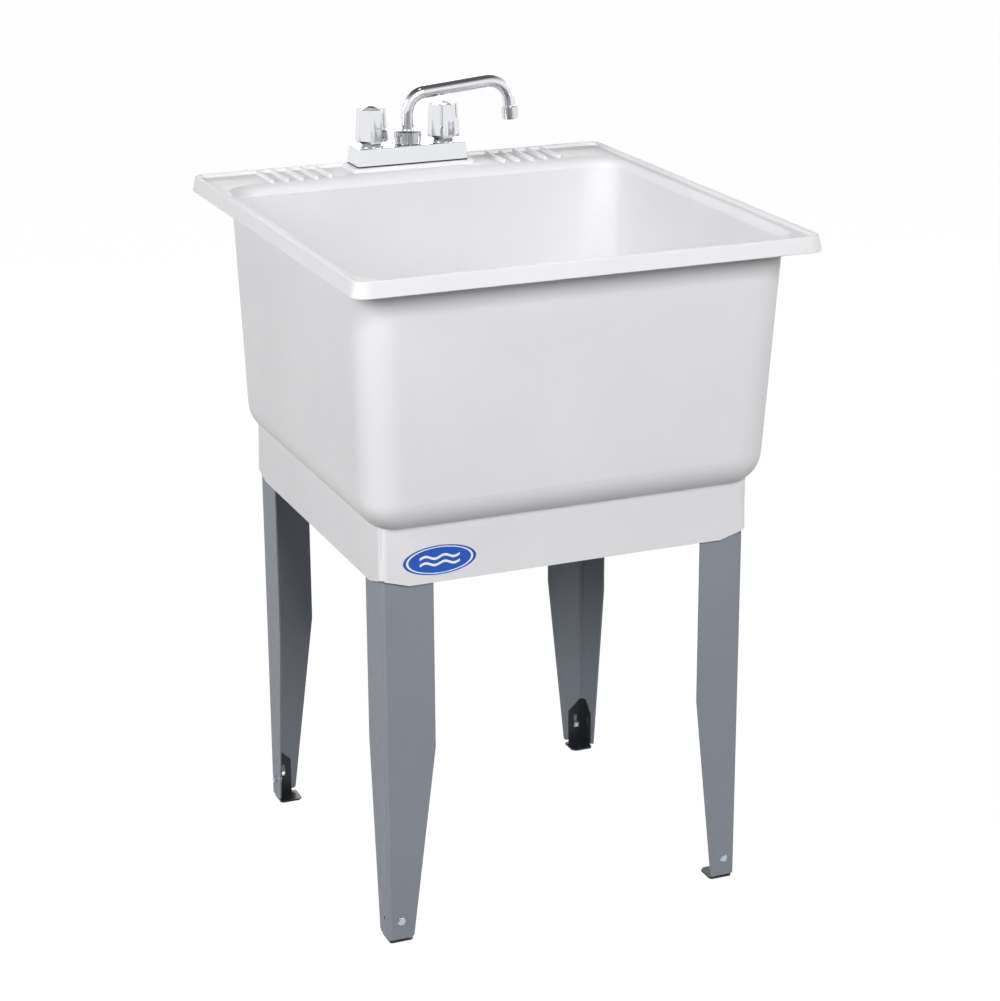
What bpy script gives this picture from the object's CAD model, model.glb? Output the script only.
"""Looks for the laundry sink: materials, floor, studio light and the camera."""

import math

import bpy
from mathutils import Matrix, Vector


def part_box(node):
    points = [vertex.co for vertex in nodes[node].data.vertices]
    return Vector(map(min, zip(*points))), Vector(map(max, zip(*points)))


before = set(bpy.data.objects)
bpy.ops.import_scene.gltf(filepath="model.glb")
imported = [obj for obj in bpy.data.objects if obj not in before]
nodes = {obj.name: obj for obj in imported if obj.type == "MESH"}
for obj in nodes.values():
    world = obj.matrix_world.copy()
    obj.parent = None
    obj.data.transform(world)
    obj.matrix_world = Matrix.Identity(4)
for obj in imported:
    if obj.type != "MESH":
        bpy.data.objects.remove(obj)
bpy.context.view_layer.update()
scene = bpy.context.scene


# ------------------------------------------------------------------ node tools
def map_range(tree, value, low, high, start, end):
    """Maps start to low and end to high, and holds those values outside."""
    node = tree.nodes.new("ShaderNodeMapRange")
    ends = {"From Min": start, "From Max": end, "To Min": low, "To Max": high}
    for name, number in ends.items():
        node.inputs[name].default_value = number
    tree.links.new(value, node.inputs["Value"])
    return node.outputs["Result"]


def seen_rays(tree):
    """1 for camera, glossy and transmission rays, 0 for the rays that light the object."""
    path = tree.nodes.new("ShaderNodeLightPath")
    most = path.outputs["Is Camera Ray"]
    for name in ("Is Glossy Ray", "Is Transmission Ray"):
        node = tree.nodes.new("ShaderNodeMath")
        node.operation = "MAXIMUM"
        tree.links.new(most, node.inputs[0])
        tree.links.new(path.outputs[name], node.inputs[1])
        most = node.outputs[0]
    return most


def srgb(r, g, b):
    """Linear colour from 0 to 255 display values."""
    return tuple(
        ((c / 255 + 0.055) / 1.055) ** 2.4 if c > 10 else c / 255 / 12.92
        for c in (r, g, b)
    )


def darker(colour, share):
    return tuple(c * share for c in colour)


class Mat:
    """A node material with short ways to add nodes and links."""

    SOCKETS = {
        "rough": "Roughness", "metal": "Metallic", "spec": "Specular IOR Level",
        "coat": "Coat Weight", "coat_rough": "Coat Roughness",
    }

    def __init__(self, name, **values):
        self.mat = bpy.data.materials.new(name)
        self.mat.use_nodes = True
        self.tree = self.mat.node_tree
        self.shader = self.tree.nodes["Principled BSDF"]
        self.out = self.tree.nodes["Material Output"]
        self.coord = self.add("ShaderNodeTexCoord").outputs["Object"]
        for key, value in values.items():
            self.shader.inputs[self.SOCKETS[key]].default_value = value

    def add(self, kind, **settings):
        node = self.tree.nodes.new(kind)
        for key, value in settings.items():
            setattr(node, key, value)
        return node

    def link(self, a, b):
        self.tree.links.new(a, b)

    def to(self, value, name):
        self.link(value, self.shader.inputs[name])

    def noise(self, scale, detail=2.0, stretch=None):
        """Noise at so many waves per metre, or per stretched metre."""
        node = self.add("ShaderNodeTexNoise")
        node.inputs["Scale"].default_value = scale
        node.inputs["Detail"].default_value = detail
        self.link(self.placed(stretch) if stretch else self.coord, node.inputs["Vector"])
        return node.outputs["Fac"]

    def placed(self, stretch):
        node = self.add("ShaderNodeMapping")
        node.inputs["Scale"].default_value = stretch
        self.link(self.coord, node.inputs["Vector"])
        return node.outputs["Vector"]

    def ramp(self, value, stops):
        node = self.add("ShaderNodeValToRGB")
        for element, (place, colour) in zip(node.color_ramp.elements, stops):
            element.position = place
            element.color = (*colour, 1.0)
        self.link(value, node.inputs["Fac"])
        return node.outputs["Color"]

    def spread(self, value, low, high):
        """Brings the middle of a noise, 0.3 to 0.7, to low and high."""
        return map_range(self.tree, value, low, high, start=0.3, end=0.7)

    def math(self, how, a, b=None):
        node = self.add("ShaderNodeMath", operation=how)
        for socket, value in zip(node.inputs, (a, b)):
            if value is None:
                continue
            if isinstance(value, (int, float)):
                socket.default_value = value
            else:
                self.link(value, socket)
        return node.outputs[0]

    def mix(self, share, a, b):
        """Colour a where share is 0 and b where it is 1; a is a colour or a socket."""
        node = self.add("ShaderNodeMix", data_type="RGBA")
        # the node has sockets for every data type; those for colours are inputs 6 and 7, output 2
        factor, first, second, result = (*(node.inputs[k] for k in (0, 6, 7)), node.outputs[2])
        self.link(share, factor)
        for socket, value in ((first, a), (second, b)):
            if isinstance(value, tuple):
                socket.default_value = (*value, 1.0)
            else:
                self.link(value, socket)
        return result

    def mottle(self, colour, share, scale, detail, start=0.3, end=0.7):
        """Base colour that drifts between a darker share of the colour and the colour."""
        stops = [(start, darker(colour, share)), (end, colour)]
        self.to(self.ramp(self.noise(scale, detail), stops), "Base Color")

    def gloss(self, low, high, scale, detail):
        """Roughness that drifts between low and high."""
        self.to(self.spread(self.noise(scale, detail), low, high), "Roughness")

    def bump(self, *layers):
        """Each layer is (height value, depth in metres)."""
        normal = None
        for value, depth in layers:
            node = self.add("ShaderNodeBump")
            node.inputs["Strength"].default_value = 1.0
            node.inputs["Distance"].default_value = depth
            self.link(value, node.inputs["Height"])
            if normal is not None:
                self.link(normal, node.inputs["Normal"])
            normal = node.outputs["Normal"]
        self.to(normal, "Normal")


# ------------------------------------------------------------------ kinds of surface
def plastic(name, colour, rough=0.5, grain=0.00003):
    """Moulded plastic with a fine grain on a soft orange peel; grain is in metres."""
    m = Mat(name, rough=rough, spec=0.3)
    m.mottle(colour, 0.965, scale=7.0, detail=4.0, start=0.35, end=0.65)
    m.gloss(rough - 0.05, rough + 0.06, scale=55.0, detail=3.0)
    peel = m.noise(260.0, 3.0)
    fine = m.noise(1500.0, 2.0)
    m.bump((peel, grain), (fine, grain * 0.4))
    return m.mat


def painted(name, colour, rough=0.45, spec=0.2):
    m = Mat(name, rough=rough, spec=spec)
    m.mottle(colour, 0.93, scale=5.0, detail=5.0)
    m.gloss(rough - 0.06, rough + 0.08, scale=80.0, detail=4.0)
    m.bump((m.noise(420.0, 2.0), 0.00002))
    return m.mat


def chrome(name, colour=(0.82, 0.83, 0.85), rough=0.05):
    m = Mat(name, metal=1.0, rough=rough)
    m.mottle(colour, 0.97, scale=30.0, detail=3.0)
    m.gloss(rough * 0.6, rough * 1.6, scale=160.0, detail=4.0)
    m.bump((m.noise(90.0, 1.0), 0.000008))
    return m.mat


def metal(name, colour, rough=0.3, stretch=(400, 400, 40)):
    """Bare metal with brush marks along the axis that is stretched least."""
    m = Mat(name, metal=1.0, rough=rough)
    brush = m.noise(1.0, 3.0, stretch=stretch)
    m.to(m.mix(m.spread(brush, 0.0, 1.0), darker(colour, 0.85), colour), "Base Color")
    m.gloss(rough * 0.75, rough * 1.35, scale=120.0, detail=4.0)
    m.bump((brush, 0.00001))
    return m.mat


def rubber(name, colour, rough=0.6):
    m = Mat(name, rough=rough, spec=0.4)
    m.mottle(colour, 0.7, scale=40.0, detail=5.0)
    m.gloss(rough - 0.1, rough + 0.1, scale=300.0, detail=3.0)
    m.bump((m.noise(700.0, 2.0), 0.00003))
    return m.mat


def badge_material():
    """Plain blue oval with a white border line and two wavy bars."""
    line_in, line_out = 0.86, 0.92  # border line, as shares of the oval's radius
    bar_up, bar_half, bar_end = 0.22, 0.085, 0.55  # bars: place, half thickness, half length
    wave_rate, wave_up = 12.0, 0.10
    m = Mat("badge_vinyl", rough=0.25, spec=0.3, coat=0.15, coat_rough=0.08)
    low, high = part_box("badge")
    split = m.add("ShaderNodeSeparateXYZ")
    m.link(m.coord, split.inputs["Vector"])

    def along(axis, index):
        """-1 at one end of the badge and 1 at the other."""
        middle = (low[index] + high[index]) / 2
        off = m.math("SUBTRACT", split.outputs[axis], middle)
        return m.math("DIVIDE", off, (high[index] - low[index]) / 2)

    def times(a, b):
        return m.math("MULTIPLY", a, b)

    u, v = along("X", 0), along("Z", 2)
    r = m.math("SQRT", m.math("ADD", times(u, u), times(v, v)))
    ring = times(m.math("GREATER_THAN", r, line_in), m.math("LESS_THAN", r, line_out))
    wave = times(m.math("SINE", times(u, wave_rate)), wave_up)
    upper, lower = (
        m.math(
            "LESS_THAN",
            m.math("ABSOLUTE", m.math("SUBTRACT", m.math("SUBTRACT", v, wave), centre)),
            bar_half,
        )
        for centre in (bar_up, -bar_up)
    )
    inside = m.math("LESS_THAN", m.math("ABSOLUTE", u), bar_end)
    bars = times(m.math("MAXIMUM", upper, lower), inside)
    stops = [(0.3, srgb(10, 78, 178)), (0.7, srgb(16, 88, 192))]
    blue = m.ramp(m.noise(200.0, 2.0), stops)
    m.to(m.mix(m.math("MAXIMUM", ring, bars), blue, srgb(238, 240, 244)), "Base Color")
    m.bump((m.noise(900.0, 1.0), 0.000006))
    return m.mat


# ------------------------------------------------------------------ materials of the pieces
tub_mat = plastic("tub_plastic", srgb(229, 229, 231))
leg_mat = painted("leg_paint", srgb(141, 146, 155))
foot_mat = painted("foot_paint", srgb(36, 39, 43), 0.35, 0.3)
chrome_mat = chrome("chrome")
satin_mat = chrome("cap_chrome", (0.62, 0.63, 0.66), 0.22)
nut_mat = chrome("nut_chrome", (0.74, 0.75, 0.78), 0.12)
dark_chrome = chrome("bonnet_metal", (0.40, 0.41, 0.43), 0.18)
zinc_mat = metal("zinc", (0.50, 0.56, 0.62), 0.14)
nut_zinc_mat = metal("zinc_nut", (0.30, 0.32, 0.34), 0.38)
steel_mat = metal("drain_steel", (0.62, 0.62, 0.63), 0.22, (25, 25, 25))
brass_mat = metal("brass", (0.70, 0.50, 0.22), 0.28, (60, 60, 900))
rubber_mat = rubber("black_rubber", (0.018, 0.018, 0.019))
white_nut_mat = plastic("white_nut_plastic", srgb(226, 225, 220), 0.4)
paper_mat = rubber("slip_paper", (0.42, 0.33, 0.22), 0.8)
nylon_mat = plastic("nylon", srgb(205, 204, 196), 0.35)

looks = {
    "tub": tub_mat, "badge": badge_material(),
    "foot_screws": zinc_mat, "foot_nuts": nut_zinc_mat,
    "drain_body": steel_mat, "drain_gasket": rubber_mat, "drain_slip_washer": paper_mat,
    "drain_locknut": white_nut_mat, "stopper": rubber_mat,
    "faucet_gasket": rubber_mat, "faucet_body": brass_mat, "faucet_cover": chrome_mat,
    "shank_washers": zinc_mat, "shank_nuts": white_nut_mat,
    "spout": chrome_mat, "spout_nut": nut_mat, "spout_oring": rubber_mat,
    "spout_slip_ring": nylon_mat, "outlet": nut_mat, "outlet_screen": nylon_mat,
}
for side in ("hot", "cold"):
    looks["stem_" + side] = brass_mat
    looks["bonnet_" + side] = dark_chrome
    looks["handle_" + side] = chrome_mat
    looks["handle_cap_" + side] = satin_mat
    looks["handle_screw_" + side] = zinc_mat
for corner in ("front_left", "front_right", "rear_left", "rear_right"):
    looks["leg_" + corner] = leg_mat
    looks["foot_" + corner] = foot_mat

for name, material in looks.items():
    data = nodes[name].data
    data.materials.clear()
    data.materials.append(material)


# ------------------------------------------------------------------ background and floor
WORLD_LIGHT = 0.13  # strength of the world as a light on the object
SKY_WHITE_TO = 0.40  # sine of the height up to which the background is white, 24 degrees
SKY_GREY_FROM = 0.85  # sine of the height from which it has its darkest grey, 58 degrees
SKY_GREY = 0.12
FLOOR_HALF = 14.0
FLOOR_Z = -0.0005  # just under the soles
FLOOR_GLOW = 0.85  # share of the floor's look that is a plain white, and takes no shadow
FLOOR_WHITE = 1.16  # strength of that white; its share of it comes to just under 1


def build_world():
    world = bpy.data.worlds.new("studio")
    scene.world = world
    world.use_nodes = True
    tree = world.node_tree
    back = tree.nodes["Background"]
    level = map_range(tree, seen_rays(tree), WORLD_LIGHT, 1.0, start=0.0, end=1.0)
    tree.links.new(level, back.inputs["Strength"])
    coord = tree.nodes.new("ShaderNodeTexCoord")
    split = tree.nodes.new("ShaderNodeSeparateXYZ")
    tree.links.new(coord.outputs["Generated"], split.inputs["Vector"])
    grey = map_range(
        tree, split.outputs["Z"], 1.0, SKY_GREY, start=SKY_WHITE_TO, end=SKY_GREY_FROM
    )
    tone = tree.nodes.new("ShaderNodeCombineColor")
    for socket in tone.inputs[:3]:
        tree.links.new(grey, socket)
    tree.links.new(tone.outputs["Color"], back.inputs["Color"])


def build_floor():
    """A pale floor that keeps the object's shadow, and is clear from below."""
    mesh = bpy.data.meshes.new("floor")
    corners = [
        (x * FLOOR_HALF, y * FLOOR_HALF, FLOOR_Z)
        for x, y in ((-1, -1), (1, -1), (1, 1), (-1, 1))
    ]
    mesh.from_pydata(corners, [], [(0, 1, 2, 3)])
    floor = bpy.data.objects.new("floor", mesh)
    scene.collection.objects.link(floor)
    m = Mat("floor_white", rough=0.8, spec=0.2)
    stops = [(0.3, (0.24, 0.24, 0.24)), (0.7, (0.26, 0.26, 0.26))]
    m.to(m.ramp(m.noise(3.0, 3.0), stops), "Base Color")
    glow = m.add("ShaderNodeEmission")
    glow.inputs["Strength"].default_value = FLOOR_WHITE
    share = m.math("MULTIPLY", seen_rays(m.tree), FLOOR_GLOW)
    clear = m.add("ShaderNodeBsdfTransparent")
    side = m.add("ShaderNodeNewGeometry")

    def blend(factor, a, b):
        node = m.add("ShaderNodeMixShader")
        for socket, value in zip(node.inputs, (factor, a, b)):
            m.link(value, socket)
        return node.outputs[0]

    above = blend(share, m.shader.outputs[0], glow.outputs[0])
    m.link(blend(side.outputs["Backfacing"], above, clear.outputs[0]), m.out.inputs["Surface"])
    mesh.materials.append(m.mat)


build_world()
build_floor()


# ------------------------------------------------------------------ studio light
LAMPS = (
    # name, place, aim, width, height in metres, power in watts, spread in degrees
    ("front", (-0.05, -3.2, 2.5), (0, 0, 0.62), 1.8, 1.4, 106, 180),
    ("left", (-3.1, -0.35, 2.3), (0, 0, 0.62), 1.8, 1.3, 82, 180),
    ("right", (3.1, 0.5, 1.5), (0, 0, 0.62), 1.8, 1.3, 24, 180),
    ("back", (0.9, 3.1, 1.0), (0, 0, 0.6), 1.6, 1.0, 36, 180),
    ("basin", (0, -0.06, 2.3), (0, -0.04, 0.5), 0.2, 0.2, 0.14, 26),
)
for name, place, aim, width, height, power, spread in LAMPS:
    data = bpy.data.lights.new(name, "AREA")
    data.energy = power
    data.shape = "RECTANGLE"
    data.size = width
    data.size_y = height
    data.spread = math.radians(spread)
    lamp = bpy.data.objects.new(name, data)
    scene.collection.objects.link(lamp)
    lamp.location = place
    way = Vector(aim) - Vector(place)
    lamp.rotation_euler = way.to_track_quat("-Z", "Y").to_euler()
    lamp.visible_camera = False


# ------------------------------------------------------------------ camera, at the photo's place
FOCAL_PX = 2588.97  # focal length in pixels of a picture that is WIDTH_PX wide
WIDTH_PX = 1000
SENSOR_MM = 36.0
CAMERA_PLACE = (-1.18644, -2.90776, 1.53571)
CAMERA_TURN = (
    (0.92408982, 0.12708762, -0.36042578),
    (-0.38214388, 0.29516461, -0.87569624),
    (-0.00490521, 0.94695649, 0.32132437),
)
camera_data = bpy.data.cameras.new("camera")
camera_data.sensor_fit = "HORIZONTAL"
camera_data.sensor_width = SENSOR_MM
camera_data.lens = FOCAL_PX / WIDTH_PX * SENSOR_MM
camera_data.clip_end = 60.0
camera = bpy.data.objects.new("camera", camera_data)
scene.collection.objects.link(camera)
camera.matrix_world = Matrix.Translation(CAMERA_PLACE) @ Matrix(CAMERA_TURN).to_4x4()
scene.camera = camera

scene.view_settings.view_transform = "Standard"
